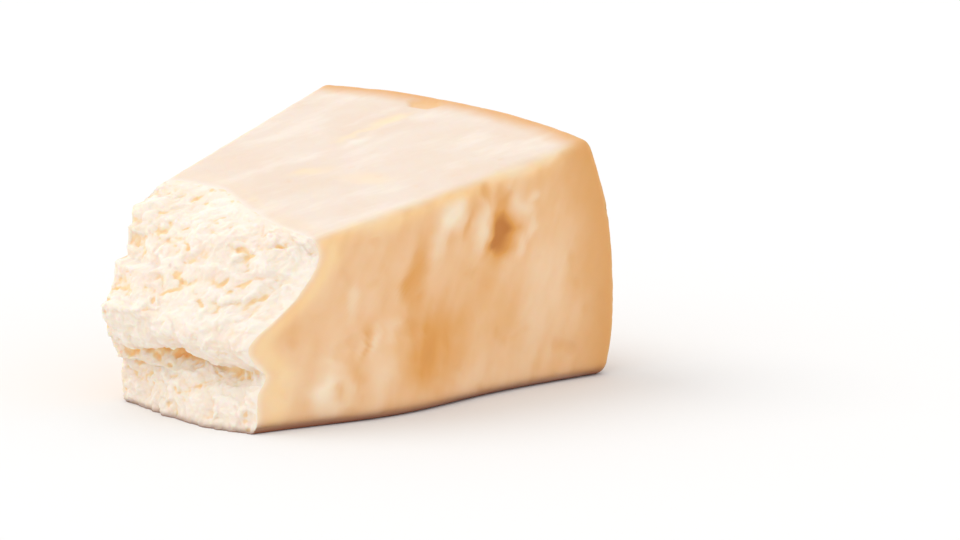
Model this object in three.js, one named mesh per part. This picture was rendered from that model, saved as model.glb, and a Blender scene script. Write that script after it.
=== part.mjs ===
// A wedge of hard, aged cheese: two cut sides and a cut top that fall towards the thin end,
// a rind at the wide end, and a thin end that was broken off instead of cut.
// Millimetres. +X runs from the rind to the broken end, +Z is up, and the wedge stands on its
// flat bottom with its origin under the middle of its bounding box.
import * as THREE from 'three';
import { mergeVertices } from 'three/addons/utils/BufferGeometryUtils.js';

// Overall sizes. x = 0 is the straight line between the rind's two upright corners.
const HEEL_WIDTH = 88;
const HEEL_HEIGHT = 64;
const REACH = 101.5;
const SECTOR_ANGLE = 22.4;
const TOP_FALL_ALONG = 12.8;
const TOP_FALL_ACROSS = 6.2;

// The rind: curved in plan like the wheel it came from, and barrelled from top to bottom.
const RIND_PLAN_RADIUS = 150;
const RIND_PLAN_OFFSET = -8;
const RIND_BARREL_RADIUS = 85;
const RIND_BARREL_HEIGHT = 21;
const RIND_BULGE = 11.3;

// Softened edges, and the +Y side's low belly.
const EDGE_RADIUS = 2.5;
const BELLY_BULGE = 3.5;
const BELLY_X = 66;
const BELLY_LENGTH = 34;
const BELLY_HEIGHT = 22;

// The broken face as lines across it, from the top rim to the bottom edge. Each line has a
// setback behind REACH and a height, at five even places from the -Y side to the +Y side.
const RIM = { setback: [28.5, 31, 25.5, 21, 19] };
const BROW = { setback: [17.5, 17.5, 15, 17, 20], height: [45, 43, 41, 39.5, 37.5] };
const CHEST = { setback: [10.5, 8.5, 6.5, 9, 14.5], height: [33, 33, 31, 30, 30] };
const LIP = { setback: [2, 0.5, 0, 0, 2.5], height: [23.5, 24, 21.5, 20, 19] };
const UNDERLIP = { setback: [4, 3, 3, 3.5, 4.5], height: [16.5, 18, 18, 15.5, 15.5] };
const CREVICE = { setback: [8.5, 11, 12, 9.5, 7], height: [10.5, 13.5, 14.5, 11.5, 12.2] };
const TOE = { setback: [8.5, 6.5, 4.5, 3.5, 3.5], height: [5, 7, 8, 7, 8] };
const BASE = { setback: [9.5, 6, 3, 1.2, 0.2], height: [0, 0, 0, 0, 0] };

// Lattice steps along, across and up the wedge, and how many of them round an edge.
const STEPS_ALONG = 18;
const STEPS_ACROSS = 22;
const STEPS_UP = 24;
const ROUND_STEPS = 2;

const slope = (degrees) => Math.tan(THREE.MathUtils.degToRad(degrees));

// Depth of an arc of the given radius below its highest point, at a distance from that point.
const arcDepth = (distance, radius) => radius - Math.sqrt(radius ** 2 - distance ** 2);

// Half of the wedge's width at x, between its two cut sides.
const halfWidth = (x) => HEEL_WIDTH / 2 - x * slope(SECTOR_ANGLE / 2);

// Height of the cut top, a plane that falls along and across the wedge.
function topHeight(x, y) {
  return HEEL_HEIGHT - x * slope(TOP_FALL_ALONG) - y * slope(TOP_FALL_ACROSS);
}

// The rind's x at a place across (-1 to 1) and up (0 to 1) the wide end.
function rindX(across, up) {
  const y = across * HEEL_WIDTH / 2;
  const fromWidest = up * topHeight(0, y) - RIND_BARREL_HEIGHT;
  const plan = arcDepth(y - RIND_PLAN_OFFSET, RIND_PLAN_RADIUS);
  const cornerPlan = arcDepth(HEEL_WIDTH / 2, RIND_PLAN_RADIUS);
  return plan - cornerPlan + arcDepth(fromWidest, RIND_BARREL_RADIUS) - RIND_BULGE;
}

// A smooth line across the broken face, as a curve of points (x, place across, z).
function faceLine({ setback, height }) {
  const last = setback.length - 1;
  const points = setback.map((depth, i) => {
    const across = 2 * i / last - 1;
    const x = REACH - depth;
    const z = height ? height[i] : topHeight(x, across * halfWidth(x));
    return new THREE.Vector3(x, across, z);
  });
  return new THREE.CatmullRomCurve3(points);
}

const FACE_LINES = [BASE, TOE, CREVICE, UNDERLIP, LIP, CHEST, BROW, RIM].map(faceLine);

// The broken face's point at a place across (-1 to 1) and up (0 to 1): its x, and its height
// as a share of the cut top's height above it.
function brokenFace(across, up) {
  const points = FACE_LINES.map((line) => line.getPoint((across + 1) / 2));
  const { x, z } = new THREE.CatmullRomCurve3(points).getPoint(up);
  return { x, share: up === 1 ? 1 : z / topHeight(x, across * halfWidth(x)) };
}

// How far the +Y side swells outwards at x and at a share of the wedge's height.
function belly(x, share, across) {
  const along = Math.exp(-(((x - BELLY_X) / BELLY_LENGTH) ** 2));
  const low = Math.exp(-((share * topHeight(x, 0) / BELLY_HEIGHT) ** 2));
  return BELLY_BULGE * along * low * Math.max(across, 0);
}

// Positions of lattice lines over a length: short steps in a rounded end, even ones between.
function latticeLines(length, steps, farEndRounded) {
  const first = ROUND_STEPS;
  const last = farEndRounded ? steps - ROUND_STEPS : steps;
  const end = farEndRounded ? length - EDGE_RADIUS : length;
  const lineAt = (i) => {
    if (i < first) return EDGE_RADIUS * i / ROUND_STEPS;
    if (i > last) return end + EDGE_RADIUS * (i - last) / ROUND_STEPS;
    return THREE.MathUtils.lerp(EDGE_RADIUS, end, (i - first) / (last - first));
  };
  return Array.from({ length: steps + 1 }, (_, i) => lineAt(i));
}

// Rounds the plain block's edges: beyond the inner block, squares become circles.
function roundEdges(point) {
  const inner = new THREE.Vector3(
    Math.max(point.x, EDGE_RADIUS),
    THREE.MathUtils.clamp(point.y, EDGE_RADIUS, HEEL_WIDTH - EDGE_RADIUS),
    THREE.MathUtils.clamp(point.z, EDGE_RADIUS, HEEL_HEIGHT - EDGE_RADIUS),
  );
  const beyond = point.clone().sub(inner);
  const reach = Math.max(Math.abs(beyond.x), Math.abs(beyond.y), Math.abs(beyond.z));
  return reach > 0 ? inner.add(beyond.setLength(reach)) : point.clone();
}

// Carries a point of the rounded plain block to its place in the wedge.
function toWedge(point) {
  const along = point.x / REACH;
  const across = 2 * point.y / HEEL_WIDTH - 1;
  const up = point.z / HEEL_HEIGHT;
  const face = brokenFace(across, up);
  const x = THREE.MathUtils.lerp(rindX(across, up), face.x, along);
  const share = THREE.MathUtils.lerp(up, face.share, along);
  const straightY = across * halfWidth(x);
  const y = straightY + belly(x, share, across);
  return new THREE.Vector3(x, y, share * topHeight(x, straightY));
}

function wedgeGeometry() {
  const block = new THREE.BoxGeometry(
    REACH, HEEL_WIDTH, HEEL_HEIGHT, STEPS_ALONG, STEPS_ACROSS, STEPS_UP);
  block.translate(REACH / 2, HEEL_WIDTH / 2, HEEL_HEIGHT / 2);
  const linesX = latticeLines(REACH, STEPS_ALONG, false);
  const linesY = latticeLines(HEEL_WIDTH, STEPS_ACROSS, true);
  const linesZ = latticeLines(HEEL_HEIGHT, STEPS_UP, true);
  const position = block.getAttribute('position');
  for (let i = 0; i < position.count; i += 1) {
    const lattice = new THREE.Vector3(
      linesX[Math.round(position.getX(i) / REACH * STEPS_ALONG)],
      linesY[Math.round(position.getY(i) / HEEL_WIDTH * STEPS_ACROSS)],
      linesZ[Math.round(position.getZ(i) / HEEL_HEIGHT * STEPS_UP)],
    );
    const placed = toWedge(roundEdges(lattice));
    position.setXYZ(i, placed.x, placed.y, placed.z);
  }
  return closedAndCentred(block);
}

// Merges the block's faces into one closed body and stands it on z = 0, centred on x and y.
function closedAndCentred(geometry) {
  geometry.deleteAttribute('normal');
  geometry.deleteAttribute('uv');
  const closed = mergeVertices(geometry);
  closed.computeBoundingBox();
  const { min, max } = closed.boundingBox;
  closed.translate(-(min.x + max.x) / 2, -(min.y + max.y) / 2, -min.z);
  closed.computeVertexNormals();
  return closed;
}

const cheese = new THREE.MeshStandardMaterial({
  name: 'cheese', color: 0xe8c79c, roughness: 0.6, metalness: 0,
});

const wedge = new THREE.Mesh(wedgeGeometry(), cheese);
wedge.name = 'cheese_wedge';

const model = new THREE.Group();
model.add(wedge);

export default model;
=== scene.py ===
"""A wedge of hard, aged cheese: smooth cut sides and top, a dry rind and a crumbly broken end.

The wedge is one closed surface. Its points are places on the skin of a plain block (along,
across and up, each 0 to 1), carried by formulas to the wedge, with finer cells at the broken
end than at the rind. Shape functions work in millimetres and the mesh is in metres.
"""
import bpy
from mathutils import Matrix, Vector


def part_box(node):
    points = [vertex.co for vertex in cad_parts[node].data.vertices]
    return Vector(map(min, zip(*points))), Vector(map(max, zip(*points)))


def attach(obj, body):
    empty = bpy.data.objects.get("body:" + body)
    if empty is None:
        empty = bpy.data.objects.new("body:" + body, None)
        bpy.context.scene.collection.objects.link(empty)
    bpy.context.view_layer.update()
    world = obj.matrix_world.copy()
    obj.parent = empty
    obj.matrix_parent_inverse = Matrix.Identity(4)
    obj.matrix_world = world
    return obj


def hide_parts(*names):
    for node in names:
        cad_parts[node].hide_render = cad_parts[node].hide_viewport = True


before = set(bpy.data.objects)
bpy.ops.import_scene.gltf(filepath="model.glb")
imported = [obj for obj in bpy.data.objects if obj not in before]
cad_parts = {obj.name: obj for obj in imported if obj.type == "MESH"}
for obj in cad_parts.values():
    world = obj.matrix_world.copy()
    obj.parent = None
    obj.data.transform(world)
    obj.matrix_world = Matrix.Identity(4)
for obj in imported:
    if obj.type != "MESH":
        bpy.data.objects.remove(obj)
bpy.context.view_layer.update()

from types import SimpleNamespace

import bpy
import numpy as np
from bpy.props import FloatProperty, FloatVectorProperty, IntProperty, PointerProperty
from mathutils import Vector

bl_info = {
    "name": "Cheese Wedge",
    "version": (1, 0, 0),
    "blender": (4, 5, 0),
    "location": "View3D > Sidebar > Cheese",
    "description": "Builds a wedge of hard, aged cheese with a broken end",
    "category": "Add Mesh",
}

MM = 0.001
NODE = "cheese_wedge"

# The broken end as lines across it, from the bottom edge to the top rim. Each line has a setback
# behind the reach and a height in millimetres, at five even places from the -Y side to the +Y
# side. The top rim's height is that of the cut top.
FACE_LINES = {
    "base": ([9.5, 6, 3, 1.6, 2.2], [0, 0, 0, 0, 0]),
    "toe": ([8.5, 6.5, 4.5, 3.6, 3.8], [5, 7, 8, 7, 8]),
    "crevice": ([7.5, 8, 8, 7.2, 6.2], [11.5, 14.6, 15.3, 12.6, 12.6]),
    "underlip": ([4, 3.2, 3.2, 3.6, 4.5], [15.4, 16.4, 16.9, 14.4, 15.2]),
    "lip": ([2, 0.5, 0, 0, 2.5], [23.5, 24, 21.5, 20, 19]),
    "chest": ([10.5, 8.5, 6.5, 9, 14.5], [33, 33, 31, 30, 30]),
    "brow": ([17.5, 17.5, 15, 17, 20], [45, 43, 41, 39.5, 37.5]),
    "rim": ([28.5, 31, 25.5, 21, 19], None),
}

# Ledges of the broken end near its -Y edge: height, how far the ledge stands out, and how far
# down (+) or up (-) it fades, in millimetres.
LEDGES = [(46.0, 2.4, 4.5), (41.0, 1.0, 2.5), (33.2, 3.0, 4.5), (25.4, 0.9, 3.0), (10.8, 1.5, -2.5)]

# Hollows of the broken end, which the material paints golden as shade: place across (y) and up
# (z), half length, half width, lean in degrees and depth, in millimetres.
SHADED_HOLLOWS = [
    (-19.4, 44.0, 2.0, 1.0, 30, 0.7),
    (-16.4, 41.6, 2.4, 1.2, -35, 0.9),
    (-19.6, 36.2, 1.4, 1.2, 0, 0.6),
    (-3.0, 44.0, 1.8, 0.8, 20, 0.6),
    (-5.6, 33.2, 2.2, 0.7, -10, 0.7),
    (-2.0, 31.4, 0.9, 1.8, 0, 0.8),
    (-4.0, 29.3, 2.6, 0.7, 20, 0.8),
    (-7.8, 26.6, 2.6, 0.9, 45, 1.0),
    (13.0, 37.2, 3.2, 0.7, 15, 0.8),
    (17.5, 39.6, 2.4, 0.8, 25, 0.6),
    (8.2, 38.6, 1.4, 0.7, 0, 0.6),
    (12.6, 30.8, 3.0, 0.9, 35, 0.8),
    (6.4, 27.4, 1.6, 0.9, 0, 0.8),
    (18.2, 29.0, 2.4, 0.8, 30, 0.6),
    (-11.8, 12.9, 2.6, 0.8, 0, 1.0),
    (-4.9, 14.2, 2.8, 1.1, 5, 1.2),
    (2.4, 13.0, 2.4, 0.9, -20, 0.9),
    (9.0, 11.4, 2.2, 0.9, -25, 0.9),
    (18.2, 11.4, 2.6, 0.7, 0, 0.8),
    (-20.0, 8.8, 1.0, 1.8, 0, 0.6),
    (-15.5, 7.6, 1.8, 0.8, 15, 0.7),
    (-1.5, 5.8, 2.4, 0.9, -25, 0.8),
    (5.6, 8.6, 2.4, 1.0, -15, 0.7),
    (21.6, 3.9, 1.5, 1.1, 0, 0.9),
]
# Calmer patches of the broken end, with few pits: y, z, half length, half width and lean.
CALM_PATCHES = [
    (4.0, 22.6, 22, 4.4, -3),
    (16.0, 6.2, 6.5, 4.5, 0),
    (-8.0, 45.2, 9, 2.6, 0),
    (23.5, 34.0, 2.6, 10, 0),
]

# Marks on the +Y cut side: place along (x) and up (z) in the wedge's own millimetres, half
# length, half width, lean in degrees, how deep it goes and how much paler (+) or darker (-). The
# tone is partly the paste's own mottling, partly a painted highlight on raised marks and painted
# shade in sunken ones.
SIDE_MARKS = [
    (28.8, 37.8, 6.8, 4.2, 95, 1.1, -1.55),
    (26.2, 40.4, 4.6, 2.4, 17, 0.3, -0.8),
    (31.6, 36.4, 3.8, 1.8, 134, 0.2, -0.8),
    (28.0, 46.5, 3.4, 2.2, 80, 0.2, -0.6),
    (54.2, 31.0, 10.5, 3.6, 107, 0.6, -1.0),
    (32.9, 48.6, 4.0, 1.6, 73, 0.3, -0.6),
    (38.1, 42.0, 4.3, 1.0, 112, 0.2, -0.5),
    (70.3, 17.4, 3.8, 1.2, 116, 0.2, -0.45),
    (74.6, 8.4, 5.2, 1.6, 100, 0.25, -0.4),
    # This mark is partly amber paste and partly a painted shadow of loose crumbs beside the wedge,
    # which are not built.
    (50.8, 13.2, 14.0, 9.0, 115, 0.3, -1.0),
    (70.9, 19.0, 5.5, 1.6, 139, 0.2, -0.35),
    (42.8, 44.0, 4.0, 3.6, 110, -0.45, 1.35),
    (34.3, 41.0, 6.0, 2.8, 101, -0.3, 0.75),
    (47.0, 37.9, 6.0, 2.6, 115, -0.2, 0.45),
    (19.0, 47.4, 1.9, 1.7, 90, -0.1, 0.6),
    (21.7, 44.7, 5.0, 2.3, 34, -0.2, 0.5),
    (19.2, 38.7, 3.2, 1.6, 97, -0.1, 0.6),
    (22.7, 34.6, 2.8, 1.7, 114, -0.1, 0.5),
    (71.9, 26.9, 4.2, 1.5, 103, -0.15, 0.6),
    (68.0, 17.4, 4.0, 1.6, 118, -0.2, 0.55),
    (62.4, 19.6, 3.8, 2.8, 140, -0.15, 0.45),
    (55.4, 16.0, 3.6, 2.8, 129, -0.1, 0.2),
    (72.4, 17.6, 3.6, 1.5, 118, -0.15, 0.6),
    (69.0, 9.6, 5.0, 3.8, 125, -0.2, 0.3),
    (80.6, 7.6, 6.0, 6.0, 100, -0.5, 0.85),
    (84.0, 6.8, 3.8, 2.0, 98, -0.2, 0.3),
    (79.4, 13.6, 3.4, 1.3, 17, -0.1, 0.25),
    (79.2, 7.6, 2.6, 1.7, 98, 0.25, -0.8),
    (89.0, 6.5, 15.0, 9.0, 111, 0.0, 0.3),
]

# Marks on the cut top: x, y, half length, half width, lean in degrees, depth and tone.
TOP_MARKS = [
    (30.3, -5.5, 5.7, 2.0, 173, -0.20, 1.0),
    (46.0, -9.1, 5.2, 1.6, 159, -0.15, 0.8),
    (14.5, -8.9, 6.8, 2.6, 169, 0.25, -0.8),
    (26.0, -9.5, 8.0, 1.2, 168, 0.15, -0.6),
    (51.5, -2.0, 6.0, 2.6, 150, 0.15, -0.5),
    (47.4, 12.7, 7.5, 4.0, 110, 0.15, -0.4),
    (8.5, -1.4, 5.0, 2.4, 139, 0.10, 0.6),
    (83.4, 16.4, 6.5, 1.8, 110, -0.10, 0.8),
]
# The chip in the rind's top edge: x, y, half length, half width and depth.
RIND_CHIP = (0.6, -8.8, 4.6, 5.2, 0.6)

# The pinch of both sides near the broken end, in millimetres, and the -Y side's share of it.
PINCH_LENGTH = 13
PINCH_HEIGHT = 16
PINCH_SPREAD = 11
FAR_PINCH_SHARE = 0.6

# The crevice's line up the broken end, and the width of its bell curve, as shares of the end.
CREVICE_LINE = 0.282
CREVICE_WIDTH = 0.03

# The rind's skin, and how far its colour reaches into the cheese, in millimetres.
SKIN_THICKNESS = 1.2
RIND_REACH = 20

# The stage: the camera and the sun, with directions that point the way they look or shine.
CAMERA_PLACE = (0.4662, 0.4188, 0.1267)
CAMERA_FORWARD = (-0.76897, -0.61986, -0.15643)
CAMERA_LENS = 97.5
SENSOR_WIDTH = 36
SUN_TOWARDS = (-0.3, 0.75, -0.95)
SUN_STRENGTH = 0.8
SUN_SPREAD = 40
SUN_TINT = (1.0, 0.98, 0.95)
FLOOR_HALF_SIDE = 6.0


# ---- numbers that repeat each run

def cell_noise(cells, seed):
    """Repeatable numbers from 0 to 1, one for each whole-numbered cell: the cell's three
    numbers are multiplied, mixed and shifted as 32-bit numbers."""
    words = cells.astype(np.int64) & 0xFFFFFFFF
    mixed = (words[..., 0] * 0x8DA6B343 + words[..., 1] * 0xD8163841) & 0xFFFFFFFF
    mixed = (mixed + words[..., 2] * 0xCB1AB31F + seed * 0x9E3779B9) & 0xFFFFFFFF
    mixed = ((mixed ^ (mixed >> 16)) * 0x7FEB352D) & 0xFFFFFFFF
    mixed = ((mixed ^ (mixed >> 15)) * 0x846CA68B) & 0xFFFFFFFF
    return (mixed ^ (mixed >> 16)) / 0xFFFFFFFF


def cell_vectors(cells, seed):
    """Three repeatable numbers from 0 to 1 for each cell."""
    return np.stack([cell_noise(cells, seed + turn) for turn in range(3)], axis=-1)


def smooth(low, high, value):
    """0 below low, 1 above high, and an S-curve (3t^2 - 2t^3) between them."""
    t = np.clip((value - low) / (high - low), 0, 1)
    return t * t * (3 - 2 * t)


def waves(points, size, seed):
    """Gradient noise from about -1 to 1: each corner of a cell of the given size holds a random
    slope, and the eight corners' slopes are blended with an S-curve."""
    scaled = points / size
    base = np.floor(scaled).astype(np.int64)
    part = scaled - base
    blend = part ** 3 * (part * (part * 6 - 15) + 10)
    total = np.zeros(points.shape[:-1])
    for corner in np.ndindex(2, 2, 2):
        step = np.array(corner)
        slope = cell_vectors(base + step, seed) * 2 - 1
        weight = np.prod(np.where(step, blend, 1 - blend), axis=-1)
        total += weight * np.sum(slope * (part - step), axis=-1)
    return total * 1.6


def wave_vectors(points, size, seed):
    """Three waves at each place, as a vector."""
    return np.stack([waves(points, size, seed + axis) for axis in range(3)], axis=-1)


def octaves(points, size, seed, count):
    """Waves of halving size and height, added up."""
    layers = [waves(points, size / 2 ** i, seed + 7 * i) / 2 ** i for i in range(count)]
    return sum(layers)


def crumbs(points, size, seed):
    """Random angular cells of about the given size. Gives the way from the nearest cell's
    centre and that cell's three random numbers. Distances are sums of the three axes' distances
    to the power 1.5, so the cells are blunt boxes rather than balls."""
    scaled = points / size
    base = np.floor(scaled).astype(np.int64)
    nearest = np.full(points.shape[:-1], 9.0)
    way = np.zeros(points.shape)
    numbers = np.zeros(points.shape)
    for step in np.ndindex(3, 3, 3):
        cell = base + np.array(step) - 1
        offset = scaled - cell - cell_vectors(cell, seed)
        distance = np.sum(np.abs(offset) ** 1.5, axis=-1)
        closer = distance < nearest
        nearest = np.where(closer, distance, nearest)
        way = np.where(closer[..., None], offset, way)
        numbers = np.where(closer[..., None], cell_vectors(cell, seed + 3), numbers)
    return way, numbers


def facets(points, size, seed):
    """Flat broken facets from about -1 to 1: over each random cell the height is a random level
    (0.6 either way) plus 0.9 times a random tilt times the way from the cell's centre."""
    way, numbers = crumbs(points, size, seed)
    tilt = (numbers - 0.5) * 2
    return (numbers[..., 0] - 0.5) * 1.2 + np.sum(tilt * way, axis=-1) * 0.9


def lumps(points, size, seed):
    """Rounded crumbs with creases between them: the waves' size without their sign, |waves|."""
    return np.abs(waves(points, size, seed))


def blurred(grid, reach):
    """A grid averaged three times over squares reaching the given number of cells each way,
    by differences of running sums."""
    for _ in range(3):
        for axis in (0, 1):
            pad = [(reach + 1, reach) if a == axis else (0, 0) for a in (0, 1)]
            sums = np.cumsum(np.pad(grid, pad, mode="edge"), axis=axis)
            count = grid.shape[axis]
            ahead = np.take(sums, np.arange(count) + 2 * reach + 1, axis=axis)
            behind = np.take(sums, np.arange(count), axis=axis)
            grid = (ahead - behind) / (2 * reach + 1)
    return grid


# ---- the wedge's own shape

def arc_depth(distance, radius):
    """Depth of an arc below its highest point, at a distance from that point."""
    return radius - np.sqrt(radius ** 2 - distance ** 2)


def half_width(size, x):
    """Half the width between the two cut sides, which converge towards the thin end."""
    return size.heel_width / 2 - x * np.tan(size.sector_angle / 2)


def top_height(size, x, y):
    """Height of the cut top: a plane that falls along and across the wedge."""
    along = x * np.tan(size.top_fall_along)
    across = y * np.tan(size.top_fall_across)
    return size.heel_height - along - across


def rind_x(size, across, up):
    """The rind's x: an arc in plan plus an arc from top to bottom, behind the corners' line."""
    y = across * size.heel_width / 2
    from_widest = up * top_height(size, 0, y) - size.barrel_height
    plan = arc_depth(y - size.rind_offset, size.rind_radius)
    corner = arc_depth(size.heel_width / 2, size.rind_radius)
    return plan - corner + arc_depth(from_widest, size.barrel_radius) - size.rind_bulge


def knot_slope(before, here, after, gap, next_gap):
    """Slope of a centripetal curve at a knot, from its neighbours and the gaps to them."""
    return (here - before) / gap - (after - before) / (gap + next_gap) + (after - here) / next_gap


def smooth_line(knots, place):
    """A centripetal Catmull-Rom curve through knots (first axis), at places from 0 to 1. Each
    stretch is a cubic whose end slopes come from the neighbouring knots and the square roots
    of their distances; beyond the ends the line runs straight on."""
    before = 2 * knots[:1] - knots[1:2]
    after = 2 * knots[-1:] - knots[-2:-1]
    line = np.concatenate([before, knots, after])
    last = len(knots) - 2
    stretch = np.minimum(np.floor(place * (last + 1)).astype(int), last)
    part = (place * (last + 1) - stretch)[:, None]
    if knots.ndim == 2:
        ends = [line[stretch + i] for i in range(4)]
    else:
        rows = np.arange(len(place))
        ends = [line[stretch + i, rows] for i in range(4)]
    gaps = [np.linalg.norm(b - a, axis=-1, keepdims=True) ** 0.5
            for a, b in zip(ends[:-1], ends[1:])]
    start = knot_slope(*ends[:3], *gaps[:2]) * gaps[1]
    finish = knot_slope(*ends[1:], *gaps[1:]) * gaps[1]
    cubic = 2 * ends[1] - 2 * ends[2] + start + finish
    square = -3 * ends[1] + 3 * ends[2] - 2 * start - finish
    return ends[1] + part * (start + part * (square + part * cubic))


def broken_end(size, across, up):
    """Points of the smooth broken end: each line across it is a curve, and a second curve
    runs up through those lines. Gives x, and the height as a share of the cut top's."""
    lines = []
    for setback, height in FACE_LINES.values():
        place = np.linspace(-1, 1, len(setback))
        x = size.reach - np.array(setback, float)
        rim = top_height(size, x, place * half_width(size, x))
        z = rim if height is None else np.array(height, float)
        lines.append(smooth_line(np.stack([x, place, z], axis=-1), (across + 1) / 2))
    point = smooth_line(np.stack(lines), up)
    x = point[:, 0]
    share = point[:, 2] / top_height(size, x, across * half_width(size, x))
    return x, np.where(up >= 1, 1.0, share)


def belly(size, x, share, across):
    """Outward swell of the +Y side, a bell curve along times one up from the bottom, less a
    pinch near the broken end: a bell curve along, on the +Y side times one up as well."""
    z = share * top_height(size, x, 0)
    swell = np.exp(-((x - size.belly_x) / size.belly_length) ** 2 - (z / size.belly_height) ** 2)
    near_end = np.exp(-((x - size.reach) / PINCH_LENGTH) ** 2)
    pinch = size.lip_pinch * near_end * np.exp(-((z - PINCH_HEIGHT) / PINCH_SPREAD) ** 2)
    far_pinch = FAR_PINCH_SHARE * size.lip_pinch * near_end * np.minimum(across, 0)
    return (size.belly_bulge * swell - pinch) * np.maximum(across, 0) - far_pinch


def round_edges(size, block):
    """Rounds the block's long edges and rind edges: beyond the inner block, the way out keeps
    its longest part as its new length, so squares become circles."""
    radius = size.edge_radius
    low = np.array([radius, radius, radius])
    high = np.array([np.inf, size.heel_width - radius, size.heel_height - radius])
    inner = np.clip(block, low, high)
    beyond = block - inner
    length = np.linalg.norm(beyond, axis=-1, keepdims=True)
    longest = np.abs(beyond).max(axis=-1, keepdims=True)
    return inner + beyond * longest / np.maximum(length, 1e-9)


def to_wedge(size, lattice):
    """Carries places in the block (along, across and up, 0 to 1) to the wedge: x runs straight
    from the rind to the broken end, y is a share of the width there and z of the height."""
    whole = np.array([size.reach, size.heel_width, size.heel_height])
    block = round_edges(size, lattice * whole) / whole
    along = block[:, 0]
    across = block[:, 1] * 2 - 1
    up = block[:, 2]
    face_x, face_share = broken_end(size, across, up)
    x = rind_x(size, across, up) * (1 - along) + face_x * along
    share = up * (1 - along) + face_share * along
    straight = across * half_width(size, x)
    y = straight + belly(size, x, share, across)
    return np.stack([x, y, share * top_height(size, x, straight)], axis=-1)


# ---- the block's skin

def rim_walk(steps_across, steps_up):
    """Grid places round the edge of an end: along the bottom, up, back along the top, down."""
    right = np.arange(steps_across)
    rise = np.arange(steps_up)
    across = [right, np.full(steps_up, steps_across), steps_across - right, np.zeros(steps_up)]
    up = [np.zeros(steps_across), rise, np.full(steps_across, steps_up), steps_up - rise]
    return np.concatenate(across).astype(int), np.concatenate(up).astype(int)


def grid_quads(ids):
    """Quads between neighbours of a grid of point numbers, turning from its first axis to its
    second."""
    corners = [ids[:-1, :-1], ids[1:, :-1], ids[1:, 1:], ids[:-1, 1:]]
    return np.stack([c.ravel() for c in corners], axis=-1)


def ring_quads(rings):
    """Quads between closed rings of point numbers, one row for each ring."""
    joined = np.concatenate([rings, rings[:, :1]], axis=1)
    return grid_quads(joined)


def halving_faces(fine, coarse):
    """A quad and a triangle for each pair of steps where a ring meets one of half as many."""
    here, middle, there = fine[0::2], fine[1::2], np.roll(fine, -2)[0::2]
    beside = np.roll(coarse, -1)
    quads = np.stack([middle, coarse, beside, there], axis=-1)
    triangles = np.stack([here, coarse, middle], axis=-1)
    return quads, triangles


def end_places(steps_across, steps_up, along):
    """Places in the block over one end, as a grid."""
    across, up = np.meshgrid(np.linspace(0, 1, steps_across + 1),
                             np.linspace(0, 1, steps_up + 1), indexing="ij")
    return np.stack([np.full(across.shape, along), across, up], axis=-1)


def add_rings(places, ids, rim, shares):
    """Adds a ring of places for each share along the block, with the next point numbers."""
    count = sum(len(group) for group in places)
    for along in shares:
        places.append(np.column_stack([np.full(len(rim), along), rim[:, 1:]]))
        ids.append(count + np.arange(len(rim)))
        count += len(rim)
    return count


def block_skin(size):
    """The whole skin: a fine grid over the broken end, fine rings behind it, a ring where the
    cells double in size, coarse rings on to the rind, and a coarse grid over the rind.
    Gives the places in the block, the fine rings' point numbers, the quads and the triangles."""
    fine_shape = (size.cells_across + 1, size.cells_up + 1)
    front = end_places(size.cells_across, size.cells_up, 1.0)
    places = [front.reshape(-1, 3)]
    front_ids = np.arange(len(places[0])).reshape(fine_shape)
    walk = rim_walk(size.cells_across, size.cells_up)
    rim = front[walk]
    fine = 1 - size.fine_share * np.linspace(0, 1, size.fine_rings + 1)[1:] ** 1.3
    rest = np.linspace(0, 1, size.coarse_rings + 1)
    coarse = fine[-1] * (1 - rest[1:]) * (1 - 0.25 * rest[1:])
    fine_ids = [front_ids[walk]]
    coarse_ids = []
    add_rings(places, fine_ids, rim, fine)
    count = add_rings(places, coarse_ids, rim[::2], coarse)
    back = end_places(size.cells_across // 2, size.cells_up // 2, 0.0)
    inside = back[1:-1, 1:-1]
    back_ids = np.zeros(back.shape[:2], int)
    back_ids[rim_walk(size.cells_across // 2, size.cells_up // 2)] = coarse_ids[-1]
    back_ids[1:-1, 1:-1] = count + np.arange(inside[..., 0].size).reshape(inside.shape[:2])
    places.append(inside.reshape(-1, 3))
    ring_faces, triangles = halving_faces(fine_ids[-1], coarse_ids[0])
    quads = [grid_quads(front_ids), ring_quads(np.stack(fine_ids)), ring_faces,
             ring_quads(np.stack(coarse_ids)), grid_quads(back_ids)[:, ::-1]]
    return np.concatenate(places), np.stack(fine_ids), np.concatenate(quads), triangles


# ---- relief and its tones

def grid_normals(points):
    """Unit normals of a grid of points: the cross product of its two directions."""
    normal = np.cross(np.gradient(points, axis=0), np.gradient(points, axis=1))
    return normal / np.linalg.norm(normal, axis=-1, keepdims=True)


def skin_normals(points, quads, triangles):
    """Unit normals at points: the sum of the crossed diagonals of the faces that meet there."""
    faces = np.concatenate([quads, triangles[:, [0, 1, 2, 2]]])
    crossed = np.cross(points[faces[:, 2]] - points[faces[:, 0]],
                       points[faces[:, 3]] - points[faces[:, 1]])
    normal = np.zeros_like(points)
    for axis in range(3):
        for corner in range(4):
            normal[:, axis] += np.bincount(faces[:, corner], crossed[:, axis], len(points))
    return normal / np.linalg.norm(normal, axis=-1, keepdims=True)


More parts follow.
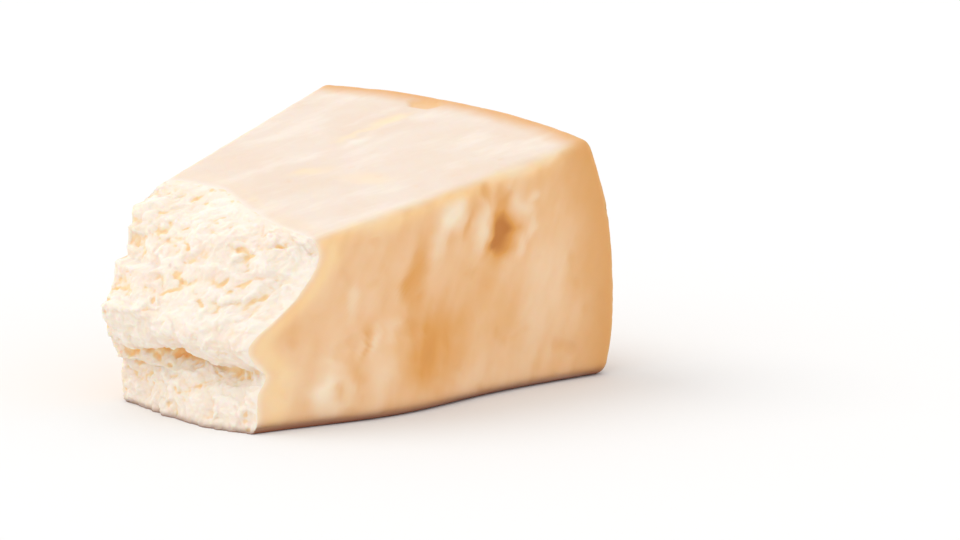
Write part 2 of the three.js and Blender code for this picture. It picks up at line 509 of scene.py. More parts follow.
def crumbly_height(size, points):
    """Height of the broken end's crumbs over its smooth shape, in millimetres: broad waves,
    flat facets in two sizes, rounded crumbs in three and a fine grain, with their mean taken
    off, less open pits that lie in clusters and the listed hollows, broken up by waves. Also
    how open each place's pits are, which the material paints as golden shade, and how calm it
    is, where the relief is lower by 0.3."""
    bent = points + wave_vectors(points, 4.0, 11) + 0.35 * wave_vectors(points, 1.6, 15)
    y, z = points[..., 1], points[..., 2]
    patches = [oval(y - patch[0], z - patch[1], *patch[2:]) for patch in CALM_PATCHES]
    calm = np.max(patches, axis=0)
    flat = bent * [1.0, 0.8, 1.3]
    coarse = size.lump_depth * octaves(points, 13.0, 21, 2)
    coarse += size.facet_depth * facets(flat, size.chunk_size * 1.2, 31)
    coarse += size.chunk_depth * lumps(flat, size.chunk_size, 41)
    fine = size.facet_depth * 0.6 * facets(flat, size.chunk_size * 0.5, 33)
    fine += size.crumb_depth * lumps(flat, size.chunk_size * 0.6, 45)
    fine += size.grain_depth * lumps(flat, size.grain_size, 51)
    fine += 0.16 * waves(points, 1.1, 57)
    height = (coarse + fine) * (1 - 0.3 * calm)
    height -= height.mean()
    clusters = smooth(-0.15, 0.4, waves(points, 13.0, 63)) * (1 - 0.9 * calm)
    pits = smooth(0.32, 0.66, waves(bent * [1.0, 0.75, 1.5], size.pit_size, 61)) * clusters
    height -= size.pit_depth * pits
    breaks = waves(points, 1.7, 59)
    for across, up, length, width, lean, deep in SHADED_HOLLOWS:
        shape = oval(bent[..., 1] - across, bent[..., 2] - up, length, width, lean)
        shape *= smooth(-0.35, 0.25, breaks)
        height -= 0.5 * deep * shape
        pits = np.maximum(pits, 1.4 * deep * shape)
    return height, pits, calm


def ledge_shift(points, across):
    """How far the broken end's ledges stand out near the -Y edge: each ledge starts at once at
    its own wandering height and fades away from it."""
    level = points[..., 2] + 1.6 * waves(points * [0, 1, 0.3], 8.0, 66)
    shift = np.zeros_like(level)
    for height, out, fade in LEDGES:
        below = (height - level) * np.sign(fade)
        shift += out * smooth(-0.2, 0.45, below) * np.exp(-np.maximum(below, 0) / abs(fade))
        shift -= 0.35 * out * smooth(0.3, -0.1, below) * np.exp(-np.maximum(-below, 0) / 1.5)
    return shift * smooth(0.15, -0.75, across)


def crevice_share(points, across, up):
    """How deep the crevice under the lip is, from 0 to 1: a bell curve round its wandering line
    up the end, strongest left of the middle, broken up by waves and gone at the edges."""
    line = CREVICE_LINE + 0.012 * waves(points, 5.0, 68)
    strength = 0.4 + 0.6 * np.exp(-((across + 0.2) / 0.5) ** 2)
    strength = strength * (0.65 + 0.35 * smooth(-0.4, 0.3, waves(points, 2.2, 67)))
    at_edges = smooth(1.0, 0.82, np.abs(across))
    return np.exp(-((up - line) / CREVICE_WIDTH) ** 2) * strength * at_edges


def broken_relief(size, grid):
    """Moves of the fine end's points, in millimetres, and how hollow each place is; the material
    paints the hollows golden to orange as shade, and the crumbs' tips and the +Y rim paler as a
    highlight. The crumbs' height goes along the smooth end's normal; at the end's edges it stays in
    the cut faces."""
    height, pits, quiet = crumbly_height(size, grid)
    height = height * 0.75 + blurred(height, 1) * 0.25
    normal = grid_normals(grid)
    columns, rows = height.shape
    across, up = np.meshgrid(np.linspace(-1, 1, columns), np.linspace(0, 1, rows), indexing="ij")
    inward = smooth(0.0, 0.10, 1 - np.abs(across))
    below_top = smooth(0.0, 0.06, 1 - up)
    above_base = smooth(0.0, 0.05, up)
    normal[..., 1] *= inward
    level = np.stack([np.ones_like(height), 0 * height,
                      np.full_like(height, -np.tan(size.top_fall_along))], axis=-1)
    normal = normal * below_top[..., None] + level * (1 - below_top[..., None])
    normal[..., 2] *= above_base
    rough_edge = 0.25 + 0.6 * smooth(0.2, 1.0, -across)
    calm = rough_edge + (1 - rough_edge) * inward * below_top
    wide, near = blurred(height, 7), blurred(height, 2)
    crevice = crevice_share(grid, across, up)
    # Painted shade: the hollows, pits and crevice turn golden to orange in the material; calm
    # patches get less of it.
    hollow = np.clip((wide - height) * 0.7 + (near - height) * 0.9, -1, 0.7) + 0.5 * pits
    hollow += size.crevice_shade * crevice - 0.3 * quiet
    # Painted highlight along the broken end's +Y rim.
    hollow -= 0.5 * np.exp(-((1 - across) / 0.06) ** 2)
    moves = normal * (height * calm - size.crevice_depth * crevice)[..., None]
    moves[..., 0] += ledge_shift(grid, across) * below_top * above_base
    return moves, hollow


def oval(along, beside, length, width, lean):
    """A bell curve over an oval: 1 in the middle and falling with a power of the distance,
    measured in half lengths and half widths along and beside the leaning oval."""
    turn = np.radians(lean)
    far = along * np.cos(turn) + beside * np.sin(turn)
    wide = beside * np.cos(turn) - along * np.sin(turn)
    return np.exp(-1.4 * ((far / length) ** 2 + (wide / width) ** 2) ** 1.4)


def marked(first, second, marks, wobble):
    """Total depth and total tone of a list of marks at places given by two coordinates."""
    depth = np.zeros(len(first))
    tone = np.zeros(len(first))
    for place, beside, length, width, lean, deep, shade in marks:
        shape = oval(first - place + wobble[0], second - beside + wobble[1], length, width, lean)
        depth += deep * shape
        tone += shade * shape
    return depth, tone


def edge_distances(size, points, places):
    """Distances in millimetres from the wedge's edges: signed across the top's long edges (less
    than 0 on the top), the same for the bottom's, and back from the broken end's rim."""
    across = places[:, 1] * 2 - 1
    straight = half_width(size, points[:, 0])
    from_side = np.maximum(straight - np.abs(points[:, 1]), 0)
    past_top = top_height(size, points[:, 0], points[:, 1]) - points[:, 2] - from_side
    past_base = points[:, 2] - from_side
    face_x, _ = broken_end(size, across, places[:, 2])
    return past_top, past_base, np.maximum(face_x - points[:, 0], 0)


def cut_relief(size, points, normal, edges):
    """Depth below the smooth cut faces, in millimetres, and the tone there: long slanted waves
    left by the wire, small dents, and each face's own marks. The tone is darker in the waves'
    troughs and the dents as painted shade, and paler at the broken rim as a painted highlight;
    the gold lies in a band just behind the rim and along the top's edges."""
    past_top, _, from_rim = edges
    wobble = [1.3 * waves(points, 6.5, seed) + 0.7 * waves(points, 2.6, seed + 4)
              for seed in (71, 72)]
    slanted = points @ np.array([[0.93, 0, -0.37], [0, 1, 0], [0.37, 0, 0.93]])
    long_waves = octaves(slanted * [2.4, 1.0, 0.9], 17.0, 81, 3)
    dents = smooth(0.35, 0.8, waves(points, 5.5, 91))
    on_plus_side = smooth(0.55, 0.9, normal[:, 1])
    on_minus_side = smooth(0.55, 0.9, -normal[:, 1])
    on_top = smooth(0.6, 0.9, normal[:, 2])
    sides = on_plus_side + on_minus_side
    depth = long_waves * (0.36 * sides + 0.12 * on_top) + dents * (0.35 * sides + 0.1 * on_top)
    # Painted shade: darker where the waves and dents sink in.
    tone = -0.3 * long_waves * sides - 0.2 * dents * sides
    side_depth, side_tone = marked(points[:, 0], points[:, 2], SIDE_MARKS, wobble)
    top_depth, top_tone = marked(points[:, 0], points[:, 1], TOP_MARKS, wobble)
    depth += on_plus_side * side_depth + on_top * top_depth
    tone += on_plus_side * side_tone + on_top * top_tone
    depth += size.foot_tuck * np.exp(-(points[:, 2] / 1.4) ** 2) * smooth(0.1, 0.5, sides)
    wander = 1.2 * waves(points, 8.0, 97)
    gold = 0.9 * np.exp(-((past_top + wander - 1.4) / 2.5) ** 2)
    rim_gold = 0.95 * np.exp(-((from_rim + wander - 3.6) / 3.2) ** 2)
    gold = np.maximum(gold, rim_gold * (0.2 + 0.8 * smooth(-1, 3, past_top)))
    # Painted highlight along the broken rim, which also softens the gold there.
    rim_highlight = np.exp(-(from_rim / 1.1) ** 2)
    chip_x, chip_y, length, width, deep = RIND_CHIP
    chip = oval(points[:, 0] - chip_x, points[:, 1] - chip_y, length, width, 0)
    chip = smooth(0.1, 0.9, chip + 0.35 * waves(points, 2.6, 95)) * smooth(0.2, 0.6, normal[:, 2])
    return depth + deep * chip, tone + 0.9 * rim_highlight, gold * (1 - 0.7 * rim_highlight), chip


def rind_relief(points):
    """Depth of the rind's own texture, in millimetres: a dry skin of fine crossed creases, soft
    dents and small scuffs."""
    creases = np.abs(waves(points * [1, 0.55, 1.3], 3.2, 101))
    scuffs = smooth(0.45, 0.8, waves(points, 9.0, 103))
    return 0.22 * np.exp(-creases * 9) + 0.25 * scuffs + 0.3 * waves(points, 14.0, 105)


def wedge_surface(size):
    """Points, faces and surface numbers of the whole wedge, in millimetres: the smooth wedge,
    then the broken end's crumbs, then the cut faces' and the rind's relief along the normals."""
    places, fine_ids, quads, triangles = block_skin(size)
    points = to_wedge(size, places)
    normal = skin_normals(points, quads, triangles)
    end_shape = (size.cells_across + 1, size.cells_up + 1)
    end_count = end_shape[0] * end_shape[1]
    moves, hollow = broken_relief(size, points[:end_count].reshape(end_shape + (3,)))
    broken = np.zeros(len(points))
    broken[:end_count] = 1
    broken[fine_ids[0]] = 0.5

    from_rind = points[:, 0] - rind_x(size, places[:, 1] * 2 - 1, places[:, 2])
    skin = 1 - smooth(0.0, SKIN_THICKNESS, from_rind)
    edges = edge_distances(size, points, places)
    depth, tone, gold, chip = cut_relief(size, points, normal, edges)
    depth = depth * (1 - skin) + rind_relief(points) * skin
    edge_share = np.ones(len(points))
    edge_share[:end_count].reshape(end_shape)[1:-1, 1:-1] = 0
    on_bottom = smooth(0.3, 0.9, -normal[:, 2])
    moved = points - normal * (depth * edge_share * (1 - on_bottom))[:, None]

    shift = moves.reshape(-1, 3)
    moved[:end_count] += shift
    rim_shift = shift[fine_ids[0]]
    for ring in fine_ids[1:]:
        fade = places[ring[0], 0] ** 14
        moved[ring] += rim_shift * fade
    moved[:, 2] = np.maximum(moved[:, 2], 0)

    full_hollow = np.zeros(len(points))
    full_hollow[:end_count] = hollow.ravel()
    wander = 1.7 * waves(points, 8.0, 99)
    side = smooth(-1.2, 2.6, edges[0] + wander) * smooth(-0.8, 1.6, edges[1])
    numbers = {
        "broken": broken,
        # Hollowness of the broken end, painted by the material as golden shade in its hollows and
        # as a highlight on its crumbs' tips.
        "hollow": full_hollow,
        "rind_depth": np.clip(from_rind / RIND_REACH, 0, 1),
        # Tone: partly the paste's own mottling, partly painted shade where darker and a painted
        # highlight where paler.
        "tone": tone * edge_share,
        "gold": gold,
        # Painted contact shade: dark brown near the floor, where the wedge meets it.
        "foot": np.exp(-(moved[:, 2] / (2.0 - 1.1 * broken)) ** 2) * (1 - 0.3 * broken),
        "side": side,
        "chip": chip,
    }
    return moved, quads, triangles, numbers


# ---- the mesh

def placed_object(name, data):
    """An object with the given data, linked to the scene."""
    item = bpy.data.objects.new(name, data)
    bpy.context.scene.collection.objects.link(item)
    return item


def mesh_from(name, points, quads, triangles, numbers):
    """A mesh object with smooth faces and one number per point for each surface number."""
    mesh = bpy.data.meshes.new(name)
    loops = np.concatenate([quads.ravel(), triangles.ravel()]).astype(np.int32)
    sizes = np.concatenate([np.full(len(quads), 4), np.full(len(triangles), 3)])
    starts = np.concatenate([[0], np.cumsum(sizes)[:-1]]).astype(np.int32)
    mesh.vertices.add(len(points))
    mesh.vertices.foreach_set("co", points.astype(np.float32).ravel())
    mesh.loops.add(len(loops))
    mesh.loops.foreach_set("vertex_index", loops)
    mesh.polygons.add(len(sizes))
    mesh.polygons.foreach_set("loop_start", starts)
    mesh.polygons.foreach_set("use_smooth", np.ones(len(sizes), bool))
    mesh.update(calc_edges=True)
    mesh.validate()
    for label, values in numbers.items():
        attribute = mesh.attributes.new(label, "FLOAT", "POINT")
        attribute.data.foreach_set("value", values.astype(np.float32))
    return placed_object(name, mesh)


def in_frame(size, points):
    """The wedge's points in metres, moved so that its smooth shape fills the frame's box."""
    low, high = (np.array(corner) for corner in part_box(NODE))
    corners = to_wedge(size, end_places(12, 12, 0.0).reshape(-1, 3))
    lip = to_wedge(size, end_places(40, 40, 1.0).reshape(-1, 3))
    smooth_low = np.minimum(corners.min(axis=0), lip.min(axis=0)) * MM
    smooth_high = np.maximum(corners.max(axis=0), lip.max(axis=0)) * MM
    move = (low + high - smooth_low - smooth_high) / 2
    move[2] = low[2]
    return points * MM + move


# ---- the material

class Nodes:
    """A material's node tree, with short calls for the nodes that this script uses."""

    def __init__(self, material):
        self.tree = material.node_tree
        self.tree.nodes.clear()

    def add(self, kind, **settings):
        node = self.tree.nodes.new(kind)
        for name, value in settings.items():
            setattr(node, name, value)
        return node

    def link(self, source, target):
        self.tree.links.new(source, target)

    def fill(self, socket, value):
        """Links a socket, or sets a plain value."""
        if isinstance(value, bpy.types.NodeSocket):
            self.link(value, socket)
        else:
            socket.default_value = value

    def sockets(self, node, values):
        """Fills a node's named sockets."""
        for name, value in values.items():
            self.fill(node.inputs[name], value)

    def number(self, name):
        return self.add("ShaderNodeAttribute", attribute_name=name).outputs["Fac"]

    def math(self, operation, first, second=0.0, third=0.0, clamp=False):
        node = self.add("ShaderNodeMath", operation=operation, use_clamp=clamp)
        for socket, value in zip(node.inputs, (first, second, third)):
            self.fill(socket, value)
        return node.outputs[0]

    def ramp(self, value, low, high, to_low=0.0, to_high=1.0):
        node = self.add("ShaderNodeMapRange", interpolation_type="SMOOTHSTEP")
        self.sockets(node, {"Value": value, "From Min": low, "From Max": high,
                            "To Min": to_low, "To Max": to_high})
        return node.outputs["Result"]

    def noise(self, place, size, detail=2.0, roughness=0.5, distortion=0.0):
        node = self.add("ShaderNodeTexNoise")
        self.sockets(node, {"Vector": place, "Scale": 1 / size, "Detail": detail,
                            "Roughness": roughness, "Distortion": distortion})
        return node.outputs["Fac"]

    def stretched(self, place, turn, scale):
        """Places measured along turned axes, each divided by its own stretch."""
        node = self.add("ShaderNodeMapping", vector_type="TEXTURE")
        self.sockets(node, {"Vector": place, "Rotation": turn, "Scale": scale})
        return node.outputs["Vector"]

    def mix(self, share, first, second):
        node = self.add("ShaderNodeMix", data_type="RGBA")
        self.fill(node.inputs[0], share)
        self.fill(node.inputs[6], (*first, 1.0) if isinstance(first, tuple) else first)
        self.fill(node.inputs[7], (*second, 1.0) if isinstance(second, tuple) else second)
        return node.outputs[2]


def paste_colour(nodes, place, look):
    """Colour of the cut faces: pale cream on the top and bottom, warmer on the two sides, with
    soft cloudy patches, streaks along the cut, golden edges and the paler or darker marks; the
    marks are partly the paste's own mottling, partly a painted highlight where paler and painted
    shade where darker, amber on the sides and brown where darkest."""
    clouds = nodes.noise(place, 20 * MM, detail=3, distortion=0.4)
    side_place = nodes.stretched(place, (0, -0.38, 0), (1.0, 1.0, 3.2))
    side_streaks = nodes.noise(side_place, 11 * MM, detail=3)
    top_place = nodes.stretched(place, (0, 0, -0.2), (3.5, 1.0, 1.0))
    top_streaks = nodes.noise(top_place, 7 * MM, detail=3, roughness=0.6)
    tone = nodes.number("tone")
    side = nodes.number("side")
    top = nodes.mix(nodes.ramp(clouds, 0.35, 0.65), look.top, look.top_warm)
    top = nodes.mix(nodes.ramp(top_streaks, 0.45, 0.75, 0.0, 0.6), top, look.top_pale)
    flank = nodes.mix(nodes.ramp(clouds, 0.3, 0.7), look.side, look.side_dark)
    flank = nodes.mix(nodes.ramp(side_streaks, 0.45, 0.75, 0.0, 0.35), flank, look.side_pale)
    paste = nodes.mix(side, top, flank)
    paste = nodes.mix(nodes.number("gold"), paste, nodes.mix(side, look.top_gold, look.side_gold))
    # Paler tone: painted highlight on raised marks and at the broken rim. Darker tone: painted
    # shade in sunken marks, troughs and dents, amber on the sides and golden on the top.
    pale = nodes.mix(side, look.top_pale, look.side_highlight)
    dark = nodes.mix(side, look.top_gold, look.side_amber_shade)
    paste = nodes.mix(nodes.math("MULTIPLY", tone, 0.85, clamp=True), paste, pale)
    paste = nodes.mix(nodes.math("MULTIPLY", tone, -1.1, clamp=True), paste, dark)
    # Brown painted shade in the sides' darkest hollows.
    return nodes.mix(nodes.ramp(tone, -0.75, -1.7), paste, look.hollow_shade_brown)


def broken_colour(nodes, place, look):
    """Colour of the broken end: pale crumbs with a painted highlight on their tips, warm pinkish
    patches, and painted shade in the hollows, golden, and deeper orange where deepest.
    """
    hollow = nodes.number("hollow")
    patches = nodes.noise(place, 10 * MM, detail=2)
    crumbs_pale = nodes.mix(nodes.ramp(patches, 0.42, 0.62), look.crumb, look.crumb_warm)
    speckle = nodes.noise(place, 2.0 * MM, detail=3, roughness=0.65)
    crumbs_pale = nodes.mix(nodes.ramp(speckle, 0.5, 0.72, 0.0, 0.7), crumbs_pale, look.crumb_gold)
    # Painted highlight on the crumbs' tips.
    crumbs_pale = nodes.mix(nodes.ramp(hollow, -0.05, -0.5, 0.0, 0.8), crumbs_pale, look.crumb_tip_highlight)
    # Painted shade in the hollows: golden, and deeper orange where deepest.
    golden = nodes.mix(nodes.ramp(hollow, 0.15, 0.75), crumbs_pale, look.pit)
    return nodes.mix(nodes.ramp(hollow, 0.75, 1.5), golden, look.pit_deep)


def rind_colour(nodes, place, look, inner):
    """The rind from its skin inwards: a dry skin with warm clouds, dark mottles and pale
    scuffs, then the dried cheese under it, which fades to the paste, further on the sides."""
    depth = nodes.number("rind_depth")
    drift = nodes.noise(place, 9 * MM, detail=3)
    depth = nodes.math("ADD", depth, nodes.math("MULTIPLY_ADD", drift, 0.16, -0.08))
    clouds = nodes.noise(place, 18 * MM, detail=2)
    mottle = nodes.noise(place, 3 * MM, detail=4, roughness=0.6)
    scuffs = nodes.noise(nodes.stretched(place, (0, 0, 0), (1, 5, 1)), 3 * MM, detail=3)
    skin = nodes.mix(nodes.ramp(clouds, 0.35, 0.65), look.rind, look.rind_warm)
    skin = nodes.mix(nodes.ramp(mottle, 0.48, 0.8, 0.0, 0.85), skin, look.rind_dark)
    skin = nodes.mix(nodes.ramp(scuffs, 0.52, 0.78, 0.0, 0.55), skin, look.rind_pale)
    side = nodes.number("side")
    reach = nodes.math("MULTIPLY_ADD", side, 0.50, 0.50)
    strength = nodes.math("MULTIPLY_ADD", side, 0.02, 0.97)
    under = nodes.mix(nodes.ramp(depth, 0.05, reach, strength, 0.0), inner, look.under_rind)
    outer = nodes.mix(nodes.ramp(depth, 0.0, 0.10), skin, under)
    chip = nodes.math("MULTIPLY", nodes.number("chip"), 0.75)
    return nodes.mix(chip, outer, look.chip)


def cheese_material(look):
    """Cheese: the paste and rind, then the broken end's crumbs, then a dark brown painted contact
    shade along the lowest edge. It lets light in a little way, and is smoother on the cut faces
    than on crumbs and rind."""
    material = bpy.data.materials.new("aged hard cheese")
    material.use_nodes = True
    nodes = Nodes(material)
    place = nodes.add("ShaderNodeTexCoord").outputs["Object"]
    broken = nodes.number("broken")
    paste = rind_colour(nodes, place, look, paste_colour(nodes, place, look))
    colour = nodes.mix(nodes.ramp(broken, 0.3, 0.7), paste, broken_colour(nodes, place, look))
    # Painted contact shade along the lowest edge.
    colour = nodes.mix(nodes.number("foot"), colour, look.contact_shade_brown)
    shader = nodes.add("ShaderNodeBsdfPrincipled")
    nodes.link(colour, shader.inputs["Base Color"])

    skin = nodes.ramp(nodes.number("rind_depth"), 0.0, 0.08, 1.0, 0.0)
    grain = nodes.noise(place, 1.5 * MM, detail=4, roughness=0.6)
    rough = nodes.math("MULTIPLY_ADD", grain, 0.18, 0.42)
    rough = nodes.math("MULTIPLY_ADD", broken, 0.22, rough)
    rough = nodes.math("MULTIPLY_ADD", skin, 0.12, rough, clamp=True)
    nodes.link(rough, shader.inputs["Roughness"])

    fine = nodes.noise(place, 0.9 * MM, detail=4, roughness=0.65)
    coarse = nodes.noise(place, 3.5 * MM, detail=3)
    weight = nodes.math("MULTIPLY_ADD", broken, 0.8, 0.2)
    weight = nodes.math("MULTIPLY_ADD", skin, 0.4, weight)
    height = nodes.math("ADD", nodes.math("MULTIPLY", fine, weight), coarse)
    bump = nodes.add("ShaderNodeBump")
    nodes.sockets(bump, {"Strength": look.bump_strength, "Distance": look.bump_height,
                         "Height": height})
    nodes.sockets(shader, {"Normal": bump.outputs["Normal"], "IOR": 1.44,
                           "Specular IOR Level": 0.4, "Subsurface Weight": look.glow_share,
                           "Subsurface Radius": look.glow_colours,
                           "Subsurface Scale": look.glow_depth})
    output = nodes.add("ShaderNodeOutputMaterial")
    nodes.link(shader.outputs["BSDF"], output.inputs["Surface"])
    return material


# ---- settings and operators

def length(name, default, description):
    """A length in metres whose default is given in millimetres."""
    return FloatProperty(name=name, description=description, default=default * MM,
                         subtype="DISTANCE", unit="LENGTH", precision=5)


def angle(name, default, description):
    """An angle whose default is given in degrees."""
    return FloatProperty(name=name, description=description, default=np.radians(default),
                         subtype="ANGLE", unit="ROTATION")


def share(name, default, lowest, highest, description):
    """A plain number between two limits."""
    return FloatProperty(name=name, description=description, default=default,
                         min=lowest, max=highest)


def count(name, default, lowest, highest, description):
    """A whole number of cells or rings between two limits."""
    return IntProperty(name=name, description=description, default=default,
                       min=lowest, max=highest)


def colour(name, default, description):
    return FloatVectorProperty(name=name, description=description, default=default,
                               subtype="COLOR", size=3, min=0, max=1)


class CheeseShape(bpy.types.PropertyGroup):
    """Sizes of the wedge and of its relief."""

    heel_width: length("Heel width", 88, "Straight across the rind, corner to corner")
    heel_height: length("Heel height", 64, "Height of the cut top at the middle of the rind")
    reach: length("Reach", 101.5, "From the rind's corners to the broken end's lip")
    sector_angle: angle("Sector angle", 22.4, "Angle between the two cut sides")
    top_fall_along: angle("Fall along", 12.8, "Fall of the top towards the broken end")
    top_fall_across: angle("Fall across", 6.2, "Fall of the top towards the +Y side")
    rind_radius: length("Rind radius", 150, "Radius of the rind's curve seen from above")
    rind_offset: length("Rind offset", -8, "How far the rind's curve is centred off the middle")
    barrel_radius: length("Barrel radius", 85, "Radius of the rind's curve seen from the side")
    barrel_height: length("Barrel height", 21, "Height of the rind's widest line")
    rind_bulge: length("Rind bulge", 11.3, "How far the rind stands behind its corners")
    edge_radius: length("Edge radius", 3.0, "Softening of the cut edges")
    belly_bulge: length("Belly bulge", 6.0, "Outward swell low on the +Y side")
    belly_x: length("Belly place", 64, "Where along the wedge the swell is largest")
    belly_length: length("Belly length", 26, "Half length of the swell")
    belly_height: length("Belly height", 19, "Height at which the swell has mostly faded")
    lip_pinch: length("Lip pinch", 2.4, "How far the lip's +Y end is drawn in")
    lump_depth: length("Lump depth", 0.9, "Height of the broken end's broad lumps")
    facet_depth: length("Facet depth", 0.42, "Height of the broken end's flat facets")
    chunk_size: length("Chunk size", 6.0, "Size of the broken end's larger crumbs")
    chunk_depth: length("Chunk depth", 0.9, "Height of the broken end's larger crumbs")
    crumb_depth: length("Crumb depth", 0.5, "Height of the broken end's middle crumbs")
    grain_size: length("Grain size", 1.5, "Size of the broken end's grains")
    grain_depth: length("Grain depth", 0.35, "Height of the broken end's grains")
    pit_depth: length("Pit depth", 0.65, "Depth of the broken end's open pits")
    pit_size: length("Pit size", 2.7, "Spacing of the broken end's open pits")
    crevice_depth: length("Crevice depth", 1.1, "Depth of the crevice's groove under the lip")
    # Strength of the painted golden shade in the crevice's groove.
    crevice_shade: share("Crevice shade", 1.9, 0, 4, "How golden brown the crevice's groove is")
    foot_tuck: length("Foot tuck", 0.6, "How far the sides' lowest edge is drawn in")
    fine_share: share("Fine share", 0.3, 0.1, 0.9, "Share of the length that has fine cells")
    cells_across: count("Cells across", 170, 20, 200, "Across the broken end, an even number")
    cells_up: count("Cells up", 190, 20, 200, "Up the broken end, an even number")
    fine_rings: count("Fine rings", 34, 4, 60, "Rings of fine cells behind the broken end")
    coarse_rings: count("Coarse rings", 74, 4, 120, "Rings of coarse cells up to the rind")


class CheeseLook(bpy.types.PropertyGroup):
    """Colours and finish of the cheese."""

    top: colour("Top", (0.80, 0.672, 0.572), "Cut top")
    top_warm: colour("Top, warm", (0.79, 0.64, 0.52), "Warmer clouds in the cut top")
    # Also the painted highlight on the top at the broken rim.
    top_pale: colour("Top, pale", (0.86, 0.77, 0.68), "Pale smears on the cut top")
    side: colour("Side", (0.865, 0.56, 0.32), "Cut sides")
    side_dark: colour("Side, dark", (0.82, 0.48, 0.22), "Darker clouds in the cut sides")
    side_gold: colour("Side, gold", (0.95, 0.65, 0.34), "Golden band along the sides' edges")
    top_gold: colour("Top, gold", (0.90, 0.72, 0.48), "Golden tint of the top near its edges")
    # Painted shade, amber, in the sides' sunken marks, troughs and dents, partly the paste's own
    # amber.
    side_amber_shade: colour("Side, amber", (0.76, 0.36, 0.09), "Amber streaks in the cut sides")
    side_pale: colour("Side, pale", (0.89, 0.64, 0.42), "Paler streaks in the cut sides")
    # Painted highlight on the sides' raised marks and along the broken rim.
    side_highlight: colour("Side, mark", (0.93, 0.775, 0.585), "Pale scraped marks on the cut sides")
    # Brown painted shade in the sides' darkest hollows.
    hollow_shade_brown: colour("Side, hollow", (0.56, 0.21, 0.04), "Dark hollows in the cut sides")
    # Painted contact shade along the lowest edge, where the wedge meets the floor.
    contact_shade_brown: colour("Foot, brown", (0.24, 0.075, 0.035), "Lowest edge of the cut sides")
    crumb: colour("Crumb", (0.885, 0.78, 0.668), "Broken end")
    crumb_warm: colour("Crumb, warm", (0.87, 0.74, 0.63), "Pinkish patches of the broken end")
    crumb_gold: colour("Crumb, gold", (0.89, 0.73, 0.55), "Golden speckle of the broken end")
    # Painted highlight on the crumbs' tips and along the broken end's +Y rim.
    crumb_tip_highlight: colour("Crumb, tip", (0.91, 0.835, 0.745), "Tips of the crumbs")
    # Painted shade in the broken end's hollows and crevice: golden, and deeper orange where
    # deepest.
    pit: colour("Pit", (0.90, 0.66, 0.38), "Inside of pits")
    pit_deep: colour("Pit, deep", (0.93, 0.55, 0.23), "Deepest places")
    rind: colour("Rind", (0.72, 0.42, 0.155), "Skin of the rind")
    rind_warm: colour("Rind, warm", (0.66, 0.32, 0.09), "Warmer clouds of the rind")
    rind_pale: colour("Rind, pale", (0.80, 0.55, 0.29), "Scuffs on the rind")
    rind_dark: colour("Rind, dark", (0.50, 0.235, 0.07), "Darker mottles of the rind")
    under_rind: colour("Under the rind", (0.73, 0.37, 0.12), "Dried cheese under the skin")
    chip: colour("Chip", (0.80, 0.47, 0.20), "Chipped place in the rind's top edge")
    bump_strength: share("Bump strength", 0.5, 0, 1, "Strength of the finest surface grain")
    bump_height: length("Bump height", 0.25, "Height of the finest surface grain")
    glow_share: share("Glow", 0.5, 0, 1, "How much of the light enters the cheese")
    glow_colours: FloatVectorProperty(name="Glow colours", default=(1.0, 0.55, 0.25), size=3,
                                      description="How far each colour of light travels")
    glow_depth: length("Glow depth", 1.8, "How far light travels inside the cheese")


def plain(settings, unit=1.0):
    """The settings as plain numbers and tuples, with lengths measured in the given unit."""
    values = {}
    for name, item in settings.bl_rna.properties.items():
        if item.type in {"FLOAT", "INT"}:
            value = getattr(settings, name)
            value = value / unit if item.unit == "LENGTH" else value
            values[name] = tuple(value) if hasattr(value, "__len__") else value
    return SimpleNamespace(**values)


class CHEESE_OT_wedge(bpy.types.Operator):
    """Builds the wedge with its broken end, cut faces and rind"""

    bl_idname = "cheese.wedge"
    bl_label = "Cheese Wedge"

    def execute(self, context):
        size = plain(context.scene.cheese_shape, MM)
        points, quads, triangles, numbers = wedge_surface(size)
        piece = mesh_from("wedge", in_frame(size, points), quads, triangles, numbers)
        piece.data.materials.append(cheese_material(plain(context.scene.cheese_look)))
        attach(piece, "root")
        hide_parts(NODE)
        return {"FINISHED"}


def soft_sun(towards, strength, spread, tint):
    """A broad, even light that shines along a direction, with soft-edged shadows."""
    data = bpy.data.lights.new("key", "SUN")
    data.energy = strength
    data.angle = np.radians(spread)
    data.color = tint
    light = placed_object("key", data)
    light.rotation_euler = towards.to_track_quat("-Z", "Y").to_euler()


def white_world(strength):
    world = bpy.data.worlds.new("white surround")
    world.use_nodes = True
    background = world.node_tree.nodes["Background"]
    background.inputs["Color"].default_value = (1, 1, 1, 1)
    background.inputs["Strength"].default_value = strength
    bpy.context.scene.world = world


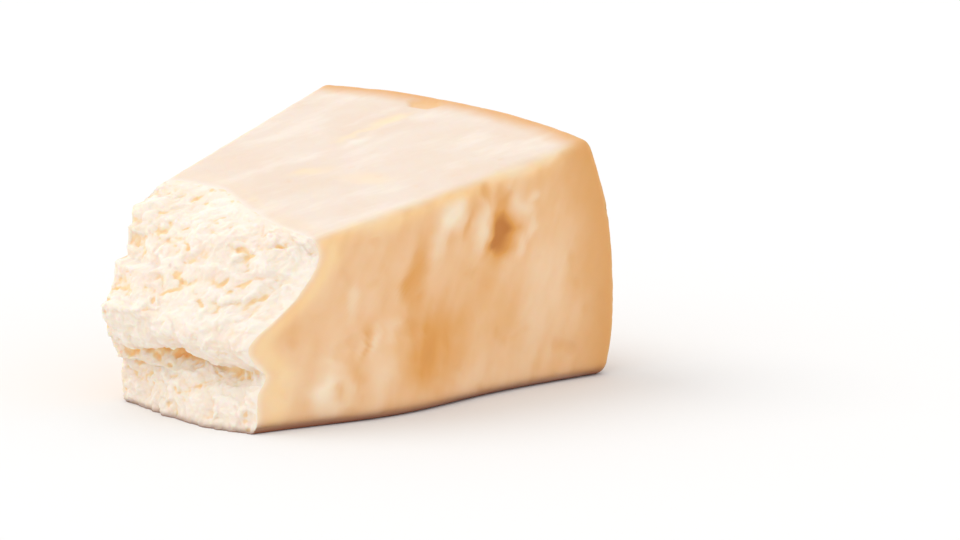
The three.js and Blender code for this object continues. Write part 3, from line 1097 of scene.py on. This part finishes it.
def white_floor(half_side):
    """A flat square floor at the height the wedge stands on."""
    corners = np.array([[-1, -1, 0], [1, -1, 0], [1, 1, 0], [-1, 1, 0]]) * half_side
    floor = mesh_from("floor", corners, np.array([[0, 1, 2, 3]]), np.zeros((0, 3), int), {})
    material = bpy.data.materials.new("white floor")
    material.use_nodes = True
    shader = material.node_tree.nodes["Principled BSDF"]
    shader.inputs["Base Color"].default_value = (0.85, 0.85, 0.85, 1)
    shader.inputs["Roughness"].default_value = 0.85
    shader.inputs["Specular IOR Level"].default_value = 0.1
    floor.data.materials.append(material)


def camera_at(place, forward, focal_length):
    data = bpy.data.cameras.new("camera")
    data.lens = focal_length
    data.sensor_width = SENSOR_WIDTH
    data.clip_start = 0.01
    data.clip_end = 50
    camera = placed_object("camera", data)
    camera.location = place
    camera.rotation_euler = forward.to_track_quat("-Z", "Y").to_euler()
    bpy.context.scene.camera = camera


class CHEESE_OT_stage(bpy.types.Operator):
    """Sets the white floor, the soft lights and the camera"""

    bl_idname = "cheese.stage"
    bl_label = "Studio Stage"

    def execute(self, context):
        context.scene.view_settings.view_transform = "Standard"
        white_world(1.0)
        white_floor(FLOOR_HALF_SIDE)
        soft_sun(Vector(SUN_TOWARDS), SUN_STRENGTH, SUN_SPREAD, SUN_TINT)
        camera_at(Vector(CAMERA_PLACE), Vector(CAMERA_FORWARD), CAMERA_LENS)
        return {"FINISHED"}


class CHEESE_PT_panel(bpy.types.Panel):
    """Lists the wedge's sizes and colours and the operators that build it"""

    bl_idname = "CHEESE_PT_panel"
    bl_label = "Cheese Wedge"
    bl_space_type = "VIEW_3D"
    bl_region_type = "UI"
    bl_category = "Cheese"

    def draw(self, context):
        layout = self.layout
        for operator in OPERATORS:
            layout.operator(operator.bl_idname)
        for settings in (context.scene.cheese_shape, context.scene.cheese_look):
            box = layout.box()
            for name in settings.__annotations__:
                box.prop(settings, name)


OPERATORS = (CHEESE_OT_wedge, CHEESE_OT_stage)
CLASSES = (CheeseShape, CheeseLook, *OPERATORS, CHEESE_PT_panel)


def register():
    for item in CLASSES:
        bpy.utils.register_class(item)
    bpy.types.Scene.cheese_shape = PointerProperty(type=CheeseShape)
    bpy.types.Scene.cheese_look = PointerProperty(type=CheeseLook)


def unregister():
    del bpy.types.Scene.cheese_look
    del bpy.types.Scene.cheese_shape
    for item in reversed(CLASSES):
        bpy.utils.unregister_class(item)


def main():
    register()
    bpy.ops.cheese.wedge()
    bpy.ops.cheese.stage()


if __name__ == "__main__":
    main()
